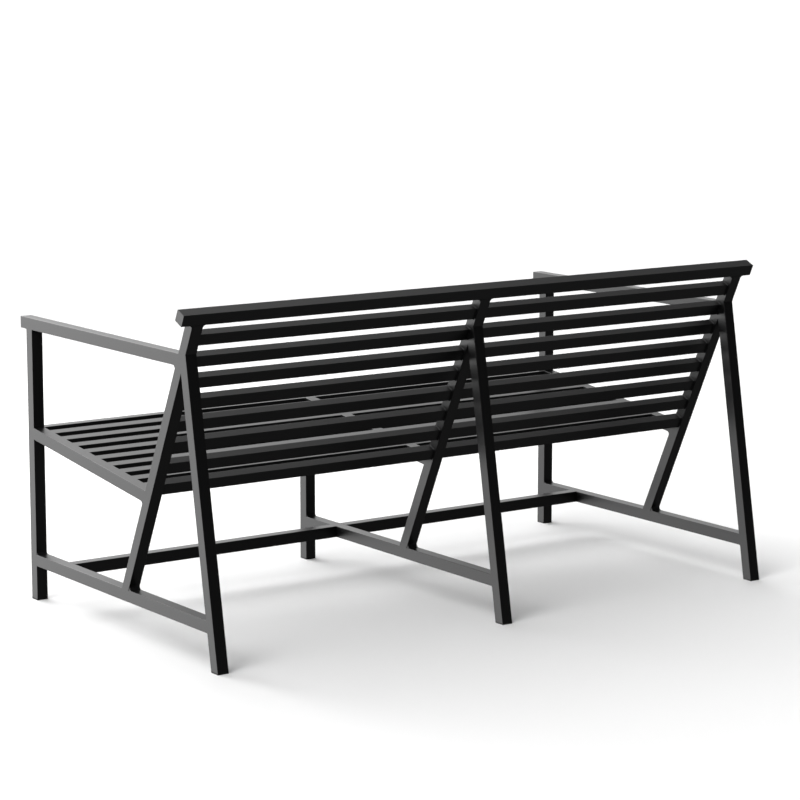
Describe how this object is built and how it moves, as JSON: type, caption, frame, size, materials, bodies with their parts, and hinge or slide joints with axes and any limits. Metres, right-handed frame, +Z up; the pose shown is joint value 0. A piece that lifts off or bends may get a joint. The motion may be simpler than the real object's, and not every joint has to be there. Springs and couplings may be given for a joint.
{
  "type": "lounge bench",
  "caption": "Low outdoor lounge bench in black powder-coated square tube: sloping slatted seat, reclined slatted back, level armrests and splayed rear legs on welded side frames.",
  "frame": {"origin": "on the floor, under the middle of the bounding box", "axes": "+X along the bench to the sitter's left, -Y the way the sitter faces, +Z up"},
  "size_m": [1.45, 0.7924, 0.7021],
  "materials": {
    "powder_coated_aluminium": "matte",
    "glide_plastic": "matte"
  },
  "bodies": {
    "root": {"armrest_end_plates": "powder_coated_aluminium", "foot_glides": "glide_plastic", "left_armrest": "powder_coated_aluminium", "left_back_slat_1": "powder_coated_aluminium", "left_back_slat_2": "powder_coated_aluminium", "left_back_slat_3": "powder_coated_aluminium", "left_back_slat_4": "powder_coated_aluminium", "left_back_slat_5": "powder_coated_aluminium", "left_back_slat_6": "powder_coated_aluminium", "left_back_slat_7": "powder_coated_aluminium", "left_back_slat_8": "powder_coated_aluminium", "left_back_upright": "powder_coated_aluminium", "left_front_post": "powder_coated_aluminium", "left_long_stretcher": "powder_coated_aluminium", "left_low_stretcher": "powder_coated_aluminium", "left_rear_leg": "powder_coated_aluminium", "left_seat_rail": "powder_coated_aluminium", "left_seat_slat_1": "powder_coated_aluminium", "left_seat_slat_10": "powder_coated_aluminium", "left_seat_slat_2": "powder_coated_aluminium", "left_seat_slat_3": "powder_coated_aluminium", "left_seat_slat_4": "powder_coated_aluminium", "left_seat_slat_5": "powder_coated_aluminium", "left_seat_slat_6": "powder_coated_aluminium", "left_seat_slat_7": "powder_coated_aluminium", "left_seat_slat_8": "powder_coated_aluminium", "left_seat_slat_9": "powder_coated_aluminium", "middle_back_upright": "powder_coated_aluminium", "middle_front_leg": "powder_coated_aluminium", "middle_leg_end_plate": "powder_coated_aluminium", "middle_low_stretcher": "powder_coated_aluminium", "middle_rear_leg": "powder_coated_aluminium", "middle_seat_rail": "powder_coated_aluminium", "right_armrest": "powder_coated_aluminium", "right_back_slat_1": "powder_coated_aluminium", "right_back_slat_2": "powder_coated_aluminium", "right_back_slat_3": "powder_coated_aluminium", "right_back_slat_4": "powder_coated_aluminium", "right_back_slat_5": "powder_coated_aluminium", "right_back_slat_6": "powder_coated_aluminium", "right_back_slat_7": "powder_coated_aluminium", "right_back_slat_8": "powder_coated_aluminium", "right_back_upright": "powder_coated_aluminium", "right_front_post": "powder_coated_aluminium", "right_long_stretcher": "powder_coated_aluminium", "right_low_stretcher": "powder_coated_aluminium", "right_rear_leg": "powder_coated_aluminium", "right_seat_rail": "powder_coated_aluminium", "right_seat_slat_1": "powder_coated_aluminium", "right_seat_slat_10": "powder_coated_aluminium", "right_seat_slat_2": "powder_coated_aluminium", "right_seat_slat_3": "powder_coated_aluminium", "right_seat_slat_4": "powder_coated_aluminium", "right_seat_slat_5": "powder_coated_aluminium", "right_seat_slat_6": "powder_coated_aluminium", "right_seat_slat_7": "powder_coated_aluminium", "right_seat_slat_8": "powder_coated_aluminium", "right_seat_slat_9": "powder_coated_aluminium", "top_rail": "powder_coated_aluminium", "top_rail_end_plates": "powder_coated_aluminium", "weld_fillets": "powder_coated_aluminium"}
  },
  "joints": []
}
